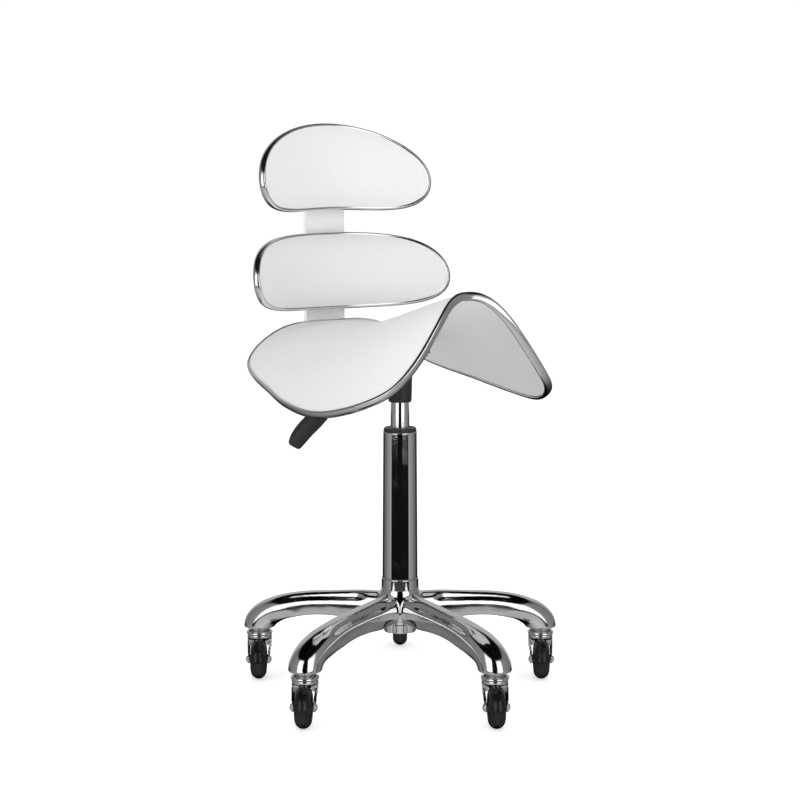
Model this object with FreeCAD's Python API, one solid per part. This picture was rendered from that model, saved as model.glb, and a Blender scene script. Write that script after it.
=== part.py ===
"""Rolling stylist stool: a saddle seat with a two-pad wrap-around backrest on a gas-lift column
and a five-leg base on swivelling casters. Millimetres, +Z up, origin on the floor under the column."""

import FreeCAD
import Part
import math
import os

V = FreeCAD.Vector
ORIGIN = V(0, 0, 0)
UP = V(0, 0, 1)
AHEAD = V(1, 0, 0)
ASIDE = V(0, 1, 0)

# ---- Driving dimensions -------------------------------------------------------------------

# Base and casters
LEG_COUNT = 5
FIRST_LEG_DEG = 90.0             # this leg points straight back, along +Y
CASTER_RADIUS = 230.0            # column axis to each swivel axis
LEG_END_R = 24.3
LEG_END_Z = 77.0
WHEEL_R = 30.5
WHEEL_WIDTH = 24.0
CHEEK_GAP = 2.6                  # wheel side to fork cheek
RIM_R = 17.0
TRAIL = 22.0                     # swivel axis to wheel axis
CASTER_TURNS_DEG = (180.0, 0.0, -3.0, 3.0, 0.0)    # how far each fork is swung from facing -Y
STEM_R = 5.5
GRIP_R = 6.5                     # grip ring outside, and its socket in the leg
CROWN_TOP_Z = 65.8
CROWN_R = 19.0
SHEET = 2.2                      # pressed-steel thickness of a caster fork
AXLE_R = 3.0

# Column and gas lift
HUB_R = 27.6
HUB_TOP_Z = 171.0
COLUMN_FOOT_R = 26.5
COLUMN_HEAD_R = 25.0
COLUMN_BORE_R = 22.5
COLUMN_TOP_Z = 394.0
SEAT_OF_TUBE_R = 25.0            # the tube's end inside the hub
TUBE_FLOOR_Z = 104.0
TUBE_FLOOR = 4.0
BUSH_TOP_Z = 400.0
BUSH_BOTTOM_Z = 330.0
CYLINDER_R = 14.0
CYLINDER_BORE_R = 12.0
CYLINDER_BOTTOM_Z = 165.0
CYLINDER_TOP_Z = 494.0
ROD_R = 5.0
ROD_NECK_R = 4.0
PISTON_Z = 335.0
BUMP_STOP_TOP_Z = 126.0
SLIP = 0.05                      # radial clearance of every running fit

# Tilt plate, socket and lever
SOCKET_BOTTOM_Z = 439.0
SOCKET_FOOT_R = 17.6
SOCKET_R = 19.0
PLATE_Z = 512.0
PLATE = 3.0
PLATE_HALF_OUTLINE = ((27, 38), (-35, 56), (-75, 56))    # ahead and aside, narrow at the front
BOLT_R = 4.0
SEAT_BOLTS = [(-55.0, -47.0), (-55.0, 47.0), (19.0, -29.0), (19.0, 29.0)]    # ahead and aside
BAR_BOLTS = [(-42.0, 0.0), (-62.0, 0.0)]
PIN_R = 3.5
PIN_TOP_Z = 502.2
LEVER_Z = 506.0
LEVER_PIVOT = -30.0              # sideways place of the lever's pivot, to the sitter's right
LEVER_R = 3.5

# Seat: a flat sheet outline bent into a saddle, then tipped nose-up
SEAT_YAW_DEG = -57.0             # turns the seat's own +X (ahead) to the way it faces at rest
SEAT_TIP_DEG = 10.0
SEAT_Z = 550.0                   # height of the tipping axis
SEAT_HALF_OUTLINE = (            # ahead and aside, from the pommel round to the rear edge
    (185, 0), (189, 24), (196, 61), (188, 105), (165, 142), (114, 176), (50, 198), (-20, 199),
    (-92, 186), (-152, 173), (-189, 159), (-203, 139), (-201, 105), (-195, 50), (-193, 0))
SHELL_HALF = 5.0                 # half the seat shell's upright thickness
PAD_EDGE = 4.0                   # upright thickness of the upholstery at its edge
SEAT_CROWN = 7.0                 # how much thicker the seat pad is at its middle
COVER_CROWN = 10.0
TRIM = 3.0
OUTLINE_PIECES = 14              # edges that each padded outline is divided into

# Backrest
BAR_FACE = -216.0                # front face of the upright bar
BAR_WIDTH = 70.0
BAR = 8.0
BAR_BEND_R = 40.0                # outside of the bar's bend
BAR_TOP_Z = 798.0
WRAP_R = 250.0                   # both backrest pads wrap round the sitter on this radius
LEAN = 0.2                       # backward lean: millimetres back for each millimetre up
BACK_SHELL_HALF = 4.0
BACK_COVER = 2.0
BACK_CROWN = 20.0
BACK_BOLT_R = 3.0
BACK_BOLT_ASIDE = 20.0
# Each pad: place of its middle, then the harmonics of its outline: sideways 1 and 3, upright 1 to 4
UPPER = {"ahead": -198.0, "z": 774.4, "side": (163.9, 0.0), "rise": (70.4, -10.4, 3.5, 1.5)}
LOWER = {"ahead": -195.0, "z": 621.4, "side": (195.8, -2.2), "rise": (64.9, -3.9, 5.5, -0.5)}


# ---- Small builders -----------------------------------------------------------------------

def save(name, *shapes):
    """Write one node: a single solid, or a group of separate solids."""
    shape = shapes[0] if len(shapes) == 1 else Part.makeCompound(list(shapes))
    assert shape.isValid(), name
    assert all(solid.Volume > 1.0 for solid in shape.Solids), name
    shape.exportStep(os.path.join("parts", name + ".step"))
    print("%-24s %d solids %10.0f mm3" % (name, len(shape.Solids), shape.Volume))


def revolve(profile, x=0.0, y=0.0):
    """Turn a closed (radius, height) outline about the upright line through (x, y)."""
    points = [V(r, 0, z) for r, z in profile]
    face = Part.Face(Part.makePolygon(points + points[:1]))
    solid = face.revolve(ORIGIN, UP, 360)
    solid.translate(V(x, y, 0))
    return solid


def tube(outer, inner, low, high, x=0.0, y=0.0):
    return revolve([(inner, low), (outer, low), (outer, high), (inner, high)], x, y)


def rod(radius, start, end):
    return Part.makeCylinder(radius, (end - start).Length, start, end - start)


def block(x0, x1, y0, y1, z0, z1):
    return Part.makeBox(x1 - x0, y1 - y0, z1 - z0, V(x0, y0, z0))


def moved(shape, x=0.0, y=0.0, turn=0.0):
    """A copy turned about its own upright axis and put at (x, y)."""
    copy = shape.copy()
    copy.rotate(ORIGIN, UP, turn)
    copy.translate(V(x, y, 0))
    return copy


def joined(shapes):
    return shapes[0].multiFuse(shapes[1:]).removeSplitter()


def smooth_loop(points, pieces=1):
    """A closed smooth curve through the points, made of one or several edges."""
    curve = Part.BSplineCurve()
    curve.interpolate(Points=points, PeriodicFlag=True)
    cuts = steps(curve.FirstParameter, curve.LastParameter, pieces + 1)
    return Part.Wire([curve.toShape(low, high) for low, high in zip(cuts, cuts[1:])])


def sheet(point, us, vs):
    """A smooth face through point(u, v) on a grid."""
    surface = Part.BSplineSurface()
    surface.interpolate([[point(u, v) for v in vs] for u in us])
    return surface.toShape()


def steps(low, high, count):
    return [low + (high - low) * i / (count - 1) for i in range(count)]


def leg_angles():
    return [FIRST_LEG_DEG + 360.0 / LEG_COUNT * i for i in range(LEG_COUNT)]


def caster_places():
    """Plan position and swing of each caster."""
    for angle, turn in zip(leg_angles(), CASTER_TURNS_DEG):
        bearing = math.radians(angle)
        yield CASTER_RADIUS * math.cos(bearing), CASTER_RADIUS * math.sin(bearing), turn


# ---- Five-leg base ------------------------------------------------------------------------

# Leg stations: distance out, height, forward tip of the section, half width, half height
LEG_STATIONS = (
    (14, 126, 0, 19, 21.5), (60, 126, 0, 19, 21), (110, 125, 3, 19.5, 17.5), (150, 121.5, 9, 21, 17),
    (185, 113.5, 22, 22.8, 18.5), (212, 101.5, 45, 24, 21.5), (226, 89, 70, 24.3, 23.8),
    (CASTER_RADIUS, LEG_END_Z, 90, LEG_END_R, LEG_END_R))
SECTION_POINTS = 16


def leg_section(out, height, tip, half_width, half_height):
    """A rounded section across the leg; the last one lies flat as the round end of the leg."""
    tip = math.radians(tip)
    points = []
    for i in range(SECTION_POINTS):
        angle = 2 * math.pi * i / SECTION_POINTS
        across, rise = half_width * math.cos(angle), half_height * math.sin(angle)
        points.append(V(out + rise * math.sin(tip), across, height + rise * math.cos(tip)))
    return smooth_loop(points)


def base_casting():
    leg = Part.makeLoft([leg_section(*station) for station in LEG_STATIONS], True, False)
    hub = revolve([
        (0, 101), (29, 101), (33, 104), (35.5, 112), (36, 120), (34, 138), (29.5, 150),
        (HUB_R, 158), (HUB_R, HUB_TOP_Z), (0, HUB_TOP_Z)])
    foot_ring = tube(25.5, 20, 88.5, 102)
    legs = [moved(leg, turn=angle) for angle in leg_angles()]
    body = joined([hub, foot_ring] + legs)
    socket = Part.makeCylinder(SEAT_OF_TUBE_R, HUB_TOP_Z, V(0, 0, TUBE_FLOOR_Z))
    clip_room = Part.makeCylinder(20, 26, V(0, 0, 80))
    stem_bores = [Part.makeCylinder(GRIP_R, 28, V(x, y, LEG_END_Z - 1)) for x, y, _ in caster_places()]
    return body.cut([socket, clip_room] + stem_bores)


# ---- Casters ------------------------------------------------------------------------------

STEM_TOP_Z = 102.0
RIVET_Z = 59.4
CUP_Z = CROWN_TOP_Z + 0.3


def caster_stem(x, y):
    """Rivet head, swivel journal, wrench collar and plain stem in one turning."""
    crown_bottom = CROWN_TOP_Z - 3.2 - 0.3
    return revolve([
        (0, RIVET_Z), (8, RIVET_Z), (8, crown_bottom), (STEM_R, crown_bottom), (STEM_R, 72.5),
        (14, 72.5), (15, 74), (15, 76), (14, LEG_END_Z), (STEM_R, LEG_END_Z), (STEM_R, STEM_TOP_Z - 1),
        (STEM_R - 1, STEM_TOP_Z), (0, STEM_TOP_Z)], x, y)


def race_cup(x, y):
    """The chrome ring over the ball race."""
    return revolve([
        (15, CUP_Z), (19.4, CUP_Z), (20.3, CUP_Z + 1.6), (19.0, 70.2), (16, 72.5), (STEM_R, 72.5),
        (STEM_R, 70.7), (15, 70.7)], x, y)


def race_balls(x, y):
    ball_r, ring_r, count = 2.0, 10.4, 12
    for i in range(count):
        bearing = 2 * math.pi * i / count
        centre = V(x + ring_r * math.cos(bearing), y + ring_r * math.sin(bearing), CUP_Z + 0.2 + ball_r)
        yield Part.makeSphere(ball_r, centre)


def caster_fork():
    """Round crown with a part skirt, and two cheeks that reach forward to the wheel axle."""
    cheek_in = WHEEL_WIDTH / 2 + CHEEK_GAP
    cheek_out = cheek_in + SHEET
    crown = Part.makeCylinder(CROWN_R, 3.2, V(0, 0, CROWN_TOP_Z - 3.2))
    crown = crown.makeFillet(1.2, [crown.Edges[0]])
    skirt = tube(CROWN_R, cheek_out, 46, CROWN_TOP_Z - 1.5)
    skirt = skirt.cut(block(-cheek_in, cheek_in, -CROWN_R - 1, 0, 40, CROWN_TOP_Z - 3.2))
    skirt = skirt.cut(block(-30, 30, -CROWN_R - 1, -14, 40, CROWN_TOP_Z - 3.2))
    outline = [V(0, 12, 63), V(0, -15, 63), V(0, -TRAIL - 7, 37), V(0, -TRAIL - 7, WHEEL_R),
               V(0, -TRAIL, WHEEL_R - 7), V(0, -TRAIL + 7, WHEEL_R), V(0, 11, 47)]
    cheeks = []
    for start in (-cheek_out, cheek_in):
        face = Part.Face(Part.makePolygon([p + V(start, 0, 0) for p in outline + outline[:1]]))
        cheeks.append(face.extrude(V(SHEET, 0, 0)))
    fork = joined([crown, skirt] + cheeks)
    stem_hole = Part.makeCylinder(STEM_R + SLIP, 20, V(0, 0, CROWN_TOP_Z - 10))
    axle_hole = rod(AXLE_R, V(-30, -TRAIL, WHEEL_R), V(30, -TRAIL, WHEEL_R))
    return fork.cut([stem_hole, axle_hole])


def caster_axle():
    """A bolt through both cheeks, and its domed nut."""
    cheek_out = WHEEL_WIDTH / 2 + CHEEK_GAP + SHEET
    cap, cap_r = 3.0, 5.4
    shank = rod(AXLE_R, V(-cheek_out, -TRAIL, WHEEL_R), V(cheek_out, -TRAIL, WHEEL_R))
    head = rod(cap_r, V(cheek_out, -TRAIL, WHEEL_R), V(cheek_out + cap, -TRAIL, WHEEL_R))
    head = head.makeFillet(1.5, [head.Edges[0]])
    nut = rod(cap_r, V(-cheek_out, -TRAIL, WHEEL_R), V(-cheek_out - cap, -TRAIL, WHEEL_R))
    nut = nut.makeFillet(1.5, [nut.Edges[0]])
    return Part.makeCompound([joined([shank, head]), nut])


def on_wheel_axis(profile):
    """Turn a closed (radius, sideways) outline about the wheel's own axis."""
    points = [V(side, -TRAIL, WHEEL_R + radius) for radius, side in profile]
    face = Part.Face(Part.makePolygon(points + points[:1]))
    return face.revolve(V(0, -TRAIL, WHEEL_R), AHEAD, 360)


def wheel_hub():
    bore, boss, half = AXLE_R + SLIP, 7.0, WHEEL_WIDTH / 2
    return on_wheel_axis([
        (bore, -half - 2), (boss, -half - 2), (boss, -5), (RIM_R - 3, -5), (RIM_R - 3, 1 - half),
        (RIM_R, 1 - half), (RIM_R, half - 1), (RIM_R - 3, half - 1), (RIM_R - 3, 5), (boss, 5),
        (boss, half + 2), (bore, half + 2)])


def tyre():
    """A ring with a full, round tread."""
    half, shoulder = WHEEL_WIDTH / 2, 18.5
    tread = [(shoulder + (WHEEL_R - shoulder) * math.sin(a), -half * math.cos(a))
             for a in steps(0, math.pi, 17)]
    return on_wheel_axis([(RIM_R, -half)] + tread + [(RIM_R, half)])


# ---- Column and gas lift ------------------------------------------------------------------

def column_tube():
    """Conical cover tube, stepped where it sits in the hub, with a floor for the thrust race."""
    floor_top = TUBE_FLOOR_Z + TUBE_FLOOR
    return revolve([
        (ROD_NECK_R + 1, TUBE_FLOOR_Z), (SEAT_OF_TUBE_R, TUBE_FLOOR_Z), (SEAT_OF_TUBE_R, HUB_TOP_Z),
        (COLUMN_FOOT_R, HUB_TOP_Z), (COLUMN_HEAD_R, COLUMN_TOP_Z), (COLUMN_BORE_R, COLUMN_TOP_Z),
        (COLUMN_BORE_R, floor_top), (ROD_NECK_R + 1, floor_top)])


def guide_bush():
    bore = CYLINDER_R + SLIP
    return revolve([
        (bore, BUSH_BOTTOM_Z), (COLUMN_BORE_R, BUSH_BOTTOM_Z), (COLUMN_BORE_R, COLUMN_TOP_Z),
        (COLUMN_HEAD_R - 0.8, COLUMN_TOP_Z), (COLUMN_HEAD_R - 1.6, BUSH_TOP_Z), (bore, BUSH_TOP_Z)])


RACE_Z = TUBE_FLOOR_Z + TUBE_FLOOR
RACE_BALL_R = 1.5
WASHER = 1.9
UPPER_RACE_Z = RACE_Z + 2.0 + 2 * RACE_BALL_R + 2 * SLIP + WASHER    # top of the upper washer


def thrust_race():
    """Lower washer and its balls, at the bottom of the column."""
    washer = tube(9, ROD_NECK_R + 1, RACE_Z, RACE_Z + 2)
    balls = [Part.makeSphere(RACE_BALL_R, V(7 * math.cos(a), 7 * math.sin(a), RACE_Z + 2 + SLIP + RACE_BALL_R))
             for a in steps(0, 2 * math.pi, 11)[:-1]]
    return [washer] + balls


def piston_rod():
    foot, top = TUBE_FLOOR_Z - 10, PISTON_Z
    return revolve([
        (0, foot), (ROD_NECK_R, foot), (ROD_NECK_R, UPPER_RACE_Z), (ROD_R, UPPER_RACE_Z), (ROD_R, top),
        (3, top), (3, top + 14), (0, top + 14)])


def gas_cylinder():
    """Closed pressure tube: gland at the bottom, valve bore at the top."""
    bottom, top = CYLINDER_BOTTOM_Z, CYLINDER_TOP_Z
    return revolve([
        (ROD_R + SLIP, bottom), (CYLINDER_R, bottom), (CYLINDER_R, top - 1), (CYLINDER_R - 1, top),
        (PIN_R + SLIP, top), (PIN_R + SLIP, top - 28), (CYLINDER_BORE_R, top - 28),
        (CYLINDER_BORE_R, bottom + 12), (ROD_R + SLIP, bottom + 12)])


def retaining_clip():
    """Washer and split clip under the column's floor."""
    washer = tube(9, ROD_NECK_R, TUBE_FLOOR_Z - 2.1, TUBE_FLOOR_Z - 0.3)
    clip = tube(8, ROD_NECK_R, TUBE_FLOOR_Z - 4.1, TUBE_FLOOR_Z - 2.1)
    return [washer, clip.cut(block(0, 10, -2, 2, TUBE_FLOOR_Z - 5, TUBE_FLOOR_Z - 2.1))]


# ---- Tilt plate, socket and lever, in the seat's own frame ---------------------------------

def socket_tube():
    outside = revolve([
        (0, SOCKET_BOTTOM_Z), (SOCKET_FOOT_R - 1, SOCKET_BOTTOM_Z), (SOCKET_FOOT_R, SOCKET_BOTTOM_Z + 4),
        (SOCKET_R, PLATE_Z), (0, PLATE_Z)])
    bore = Part.makeCylinder(CYLINDER_R, 100, V(0, 0, SOCKET_BOTTOM_Z - 1))
    lever_slot = block(-4.5, 4.5, -SOCKET_R - 1, 0, 497, PLATE_Z)
    return outside.cut([bore, lever_slot])


def upright_holes(radius, places, low, high):
    return [Part.makeCylinder(radius, high - low, V(x, y, low)) for x, y in places]


def plate_prism(inset, low, high):
    """The plate's outline, drawn inward by a margin, as an upright prism."""
    half = [V(x, y, low) for x, y in PLATE_HALF_OUTLINE]
    loop = half + [V(p.x, -p.y, low) for p in reversed(half)]
    face = Part.Face(Part.makePolygon(loop + loop[:1]))
    if inset:
        face = face.makeOffset2D(-inset, 2)
    return face.extrude(V(0, 0, high - low))


def mounting_plate():
    corner = 9.0
    plate = plate_prism(0, PLATE_Z, PLATE_Z + PLATE)
    plate = plate.makeFillet(corner, [e for e in plate.Edges if abs(e.tangentAt(0).z) > 0.9])
    return plate.cut(upright_holes(BOLT_R, SEAT_BOLTS + BAR_BOLTS, PLATE_Z - 1, PLATE_Z + 9))


def lever_bracket():
    """Two ears that hang from the plate and carry the lever's pivot pin."""
    ears = [block(side, side + 2.5, LEVER_PIVOT - 7, LEVER_PIVOT + 7, LEVER_Z - 7, PLATE_Z)
            for side in (-9.0, 6.5)]
    pin = rod(2.0, V(-10, LEVER_PIVOT, LEVER_Z), V(10, LEVER_PIVOT, LEVER_Z))
    return [ear.cut(pin) for ear in ears]


def pivot_pin():
    shank = rod(2.0, V(-9, LEVER_PIVOT, LEVER_Z), V(10, LEVER_PIVOT, LEVER_Z))
    head = rod(3.5, V(-11, LEVER_PIVOT, LEVER_Z), V(-9, LEVER_PIVOT, LEVER_Z))
    return joined([shank, head])


def bent_path(corners, radius):
    """Straight runs joined by tangent arcs."""
    edges, here = [], corners[0]
    for before, corner, after in zip(corners, corners[1:], corners[2:]):
        into, out = (corner - before).normalize(), (after - corner).normalize()
        turn = into.getAngle(out)
        cut = radius * math.tan(turn / 2)
        start, end = corner - into * cut, corner + out * cut
        middle = corner + (out - into).normalize() * (cut / math.sin(turn / 2) - radius) \
            if turn > 0.01 else corner
        edges += [Part.makeLine(here, start), Part.Arc(start, middle, end).toShape()]
        here = end
    return Part.Wire(edges + [Part.makeLine(here, corners[-1])])


LEVER_CORNERS = [V(0, 7, LEVER_Z), V(0, -52, LEVER_Z), V(0, -140, 429)]


def lever_rod():
    """Steel rod from over the release pin, through its pivot boss, down to the hand paddle."""
    path = bent_path(LEVER_CORNERS, 30.0)
    disc = Part.Wire([Part.Circle(LEVER_CORNERS[0], V(0, -1, 0), LEVER_R).toShape()])
    bar = path.makePipeShell([disc], True, True)
    boss = rod(5.5, V(-6.2, LEVER_PIVOT, LEVER_Z), V(6.2, LEVER_PIVOT, LEVER_Z))
    bore = rod(2.0 + SLIP, V(-7, LEVER_PIVOT, LEVER_Z), V(7, LEVER_PIVOT, LEVER_Z))
    return joined([bar, boss]).cut(bore)


# Paddle stations along its curve: sideways place, height, half thickness, half breadth
PADDLE_STATIONS = ((-112, 453.5, 6, 9), (-128, 439.5, 7, 12.5), (-146, 424, 7, 14), (-163, 410.5, 7, 14),
                   (-176, 397, 6.5, 13), (-183, 386, 5.5, 10))


def lever_paddle():
    """Moulded hand paddle that curves downward, as a loft of rounded sections."""
    sections = []
    for i, (side, height, half_thick, half_broad) in enumerate(PADDLE_STATIONS):
        before = PADDLE_STATIONS[max(i - 1, 0)]
        after = PADDLE_STATIONS[min(i + 1, len(PADDLE_STATIONS) - 1)]
        along = V(0, after[0] - before[0], after[1] - before[1]).normalize()
        across, outward = AHEAD, along.cross(AHEAD)
        loop = [V(0, side, height) + across * (half_thick * math.cos(a)) + outward * (half_broad * math.sin(a))
                for a in steps(0, 2 * math.pi, 13)[:-1]]
        sections.append(smooth_loop(loop))
    paddle = Part.makeLoft(sections, True, False)
    return paddle.cut(lever_rod())


# ---- Saddle seat, in the seat's own frame ---------------------------------------------------

SEAT_REACH = 200.0               # the saddle's formulas count lengths in this unit
SEAT_SPREAD = 225.0


def saddle_height(ahead, aside):
    """Height of the bent sheet: a ridge that rises to the pommel, with wings that droop."""
    x = ahead / SEAT_REACH
    ridge = 546.7 + 9.0 * x + 34.0 * x ** 2 - 8.5 * x ** 3
    droop = 58.0 + 32.0 * x + 28.0 * x ** 2
    power = 1.9 - 0.41 * x - 0.6 * x ** 2
    return ridge - droop * (1 - math.cos(math.pi * (abs(aside) / SEAT_SPREAD) ** power))


def seat_crown(ahead, aside):
    """1 over the middle of the seat, falling to 0 at its edge."""
    x, y = (ahead + 6) / 196.0, aside / 198.0
    return max(0.0, 1 - (abs(x) ** 4 + abs(y) ** 4))


def seat_outline(grow=0.0):
    """The closed outline, drawn outward by a margin."""
    half = SEAT_HALF_OUTLINE
    points = [V(x, y, 0) for x, y in half] + [V(x, -y, 0) for x, y in half[-2:0:-1]]
    loop = []
    for i, point in enumerate(points):
        along = (points[(i + 1) % len(points)] - points[i - 1]).normalize()
        loop.append(point + along.cross(UP) * grow)
    return smooth_loop(loop, OUTLINE_PIECES)


def seat_layer(low, high, grow=-TRIM, hollow=None):
    """The solid between two sheets, inside the outline."""
    us, vs = steps(-225, 215, 23), steps(-212, 212, 25)
    reach = V(0, 0, -260)
    under_high = sheet(lambda u, v: V(u, v, high(u, v)), us, vs).extrude(reach)
    under_low = sheet(lambda u, v: V(u, v, low(u, v)), us, vs).extrude(reach)
    prism = Part.Face(seat_outline(grow)).extrude(V(0, 0, 400))
    prism.translate(V(0, 0, 330))
    if hollow is not None:
        core = Part.Face(seat_outline(hollow)).extrude(V(0, 0, 400))
        core.translate(V(0, 0, 330))
        prism = prism.cut(core)
    return prism.common(under_high).cut(under_low)


def tipped(shape):
    shape.rotate(V(0, 0, SEAT_Z), ASIDE, -SEAT_TIP_DEG)
    return shape


def offset_saddle(rise, crown=0.0):
    return lambda u, v: saddle_height(u, v) + rise + crown * seat_crown(u, v)


def seat_shell():
    return tipped(seat_layer(offset_saddle(-SHELL_HALF), offset_saddle(SHELL_HALF)))


def seat_pad():
    return tipped(seat_layer(offset_saddle(SHELL_HALF), offset_saddle(SHELL_HALF + PAD_EDGE, SEAT_CROWN)))


def seat_cover():
    low = offset_saddle(-SHELL_HALF - PAD_EDGE, -COVER_CROWN)
    return tipped(seat_layer(low, offset_saddle(-SHELL_HALF)))


def seat_trim():
    """The bright band that closes the seat's edge all round."""
    edge = SHELL_HALF + PAD_EDGE
    return tipped(seat_layer(offset_saddle(-edge), offset_saddle(edge), 0.0, -TRIM))


def mounting_block():
    """Wooden block that fills the space between the flat plate and the curved shell."""
    return plate_prism(3.5, PLATE_Z + PLATE, 590)


def seat_bolt_top(x, y):
    """Height at which a seat bolt meets the shell's middle."""
    tip = math.radians(SEAT_TIP_DEG)
    return SEAT_Z + x * math.tan(tip) + (saddle_height(x, y) - SEAT_Z) / math.cos(tip)


def hex_bolt(x, y, radius, bottom, top, across_flats, head):
    corners = [V(x + across_flats / math.sqrt(3) * math.cos(a), y + across_flats / math.sqrt(3) * math.sin(a),
                 bottom - head) for a in steps(0, 2 * math.pi, 7)]
    hexagon = Part.Face(Part.makePolygon(corners)).extrude(V(0, 0, head))
    return joined([hexagon, Part.makeCylinder(radius, top - bottom, V(x, y, bottom))])


NUT_BELOW, NUT_ABOVE = 3.6, 1.8    # how far a T-nut reaches from the middle of its shell


def t_nut(x, y, z):
    """A flanged steel nut sunk in a shell, open below for its bolt."""
    bottom, top, flange = z - NUT_BELOW, z + NUT_ABOVE, 1.4
    return revolve([
        (BOLT_R, bottom), (BOLT_R + 1.6, bottom), (BOLT_R + 1.6, top - flange),
        (BOLT_R + 5, top - flange), (BOLT_R + 5, top), (BOLT_R, top)], x, y)


# ---- Backrest, in the seat's own frame ------------------------------------------------------

def backrest_bar():
    """Flat bar under the seat, bent up behind it."""
    top_of_run, outer_r = PLATE_Z, BAR_BEND_R
    back = BAR_FACE - BAR
    start = V(-30, 0, top_of_run - BAR / 2)
    path = bent_path([start, V(back + BAR / 2, 0, start.z), V(back + BAR / 2, 0, BAR_TOP_Z)],
                     outer_r - BAR / 2)
    half_w, half_t = BAR_WIDTH / 2, BAR / 2
    corners = [V(start.x, y, start.z + z) for y, z in
               ((-half_w, -half_t), (half_w, -half_t), (half_w, half_t), (-half_w, half_t))]
    bar = path.makePipeShell([Part.makePolygon(corners + corners[:1])], True, True)
    holes = upright_holes(BOLT_R, BAR_BOLTS, PLATE_Z - 20, PLATE_Z + 5)
    holes += [rod(BACK_BOLT_R, V(back - 5, y, z), V(BAR_FACE + 5, y, z)) for _, y, z in back_bolt_places()]
    return bar.cut(holes)


def wrap_place(pad, aside, z, forward=0.0):
    """How far ahead the pad's middle sheet stands at a sideways place and height."""
    bow = WRAP_R - math.sqrt(WRAP_R ** 2 - aside ** 2)
    return pad["ahead"] + bow - LEAN * (z - pad["z"]) + forward


def back_outline(pad, grow=0.0):
    loop = []
    for a in steps(0, 2 * math.pi, 37)[:-1]:
        first, third = pad["side"]
        one, two, three, four = pad["rise"]
        arc = (first + grow) * math.cos(a) + third * math.cos(3 * a)
        z = pad["z"] + (one + grow) * math.sin(a) + two * math.cos(2 * a) + three * math.sin(3 * a) \
            + four * math.cos(4 * a)
        loop.append(V(-300, WRAP_R * math.sin(arc / WRAP_R), z))
    return smooth_loop(loop, OUTLINE_PIECES)


def back_crown(pad, aside, z):
    """1 over the middle of a backrest pad, falling to 0 at its edge."""
    x = WRAP_R * math.asin(aside / WRAP_R) / pad["side"][0]
    rise = (z - pad["z"] + pad["rise"][1]) / pad["rise"][0]
    return max(0.0, 1 - (abs(x) ** 3 + abs(rise) ** 3))


def back_layer(pad, low, high, grow=-TRIM, hollow=None, crown=0.0):
    """The solid between two wrapped sheets, inside the pad's outline; low is the rear one."""
    us, vs = steps(-186, 186, 25), steps(pad["z"] - 90, pad["z"] + 95, 15)
    reach = V(-120, 0, 0)

    def behind(forward, swell):
        face = sheet(lambda y, z: V(wrap_place(pad, y, z, forward) + swell * back_crown(pad, y, z), y, z),
                     us, vs)
        return face.extrude(reach)
    prism = Part.Face(back_outline(pad, grow)).extrude(V(300, 0, 0))
    if hollow is not None:
        prism = prism.cut(Part.Face(back_outline(pad, hollow)).extrude(V(300, 0, 0)))
    return prism.common(behind(high, crown)).cut(behind(low, 0.0))


def back_shell(pad):
    return back_layer(pad, -BACK_SHELL_HALF, BACK_SHELL_HALF)


def back_pad(pad):
    return back_layer(pad, BACK_SHELL_HALF, BACK_SHELL_HALF + BACK_COVER, crown=BACK_CROWN)


def back_cover(pad):
    return back_layer(pad, -BACK_SHELL_HALF - BACK_COVER, -BACK_SHELL_HALF)


def back_trim(pad):
    edge = BACK_SHELL_HALF + BACK_COVER
    return back_layer(pad, -edge, edge, 0.0, -TRIM)


def back_bolt_places():
    """Each backrest bolt: its pad, sideways place and height."""
    for pad in (UPPER, LOWER):
        for y in (-BACK_BOLT_ASIDE, BACK_BOLT_ASIDE):
            yield pad, y, pad["z"]


def back_spacer(pad):
    """Wedge between the upright bar and the leaning back of a pad."""
    height, half_w = 18.0, BAR_WIDTH / 2 - 3
    wedge = block(BAR_FACE, BAR_FACE + 30, -half_w, half_w, pad["z"] - height, pad["z"] + height)
    solid = back_layer(pad, -BACK_SHELL_HALF - BACK_COVER, 60.0)
    holes = [rod(BACK_BOLT_R, V(BAR_FACE - 1, y, pad["z"]), V(BAR_FACE + 40, y, pad["z"]))
             for y in (-BACK_BOLT_ASIDE, BACK_BOLT_ASIDE)]
    return wedge.cut([solid] + holes)


def back_bolt(pad, y, z):
    """Domed screw from behind the bar into the pad's T-nut."""
    back = BAR_FACE - BAR
    tip = wrap_place(pad, y, z, NUT_ABOVE)
    shank = rod(BACK_BOLT_R, V(back, y, z), V(tip, y, z))
    head = rod(6.0, V(back, y, z), V(back - 3.5, y, z))
    return joined([shank, head.makeFillet(1.8, [head.Edges[0]])])


def back_t_nut(pad, y, z):
    middle = wrap_place(pad, y, z)
    front = middle + NUT_ABOVE
    barrel = rod(BACK_BOLT_R + 1.6, V(middle - 3, y, z), V(front, y, z))
    flange = rod(BACK_BOLT_R + 4.5, V(front - 1.2, y, z), V(front, y, z))
    return joined([barrel, flange]).cut(rod(BACK_BOLT_R, V(middle - 9, y, z), V(middle + 9, y, z)))


# ---- Make every node ------------------------------------------------------------------------

def seated(*shapes):
    """Turn pieces from the seat's own frame to the way the seat faces at rest."""
    return [moved(shape, turn=SEAT_YAW_DEG) for shape in shapes]


def make_base():
    save("base_casting", base_casting())
    save("column_tube", column_tube())
    save("guide_bush", guide_bush())
    save("thrust_race", *thrust_race())


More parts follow.
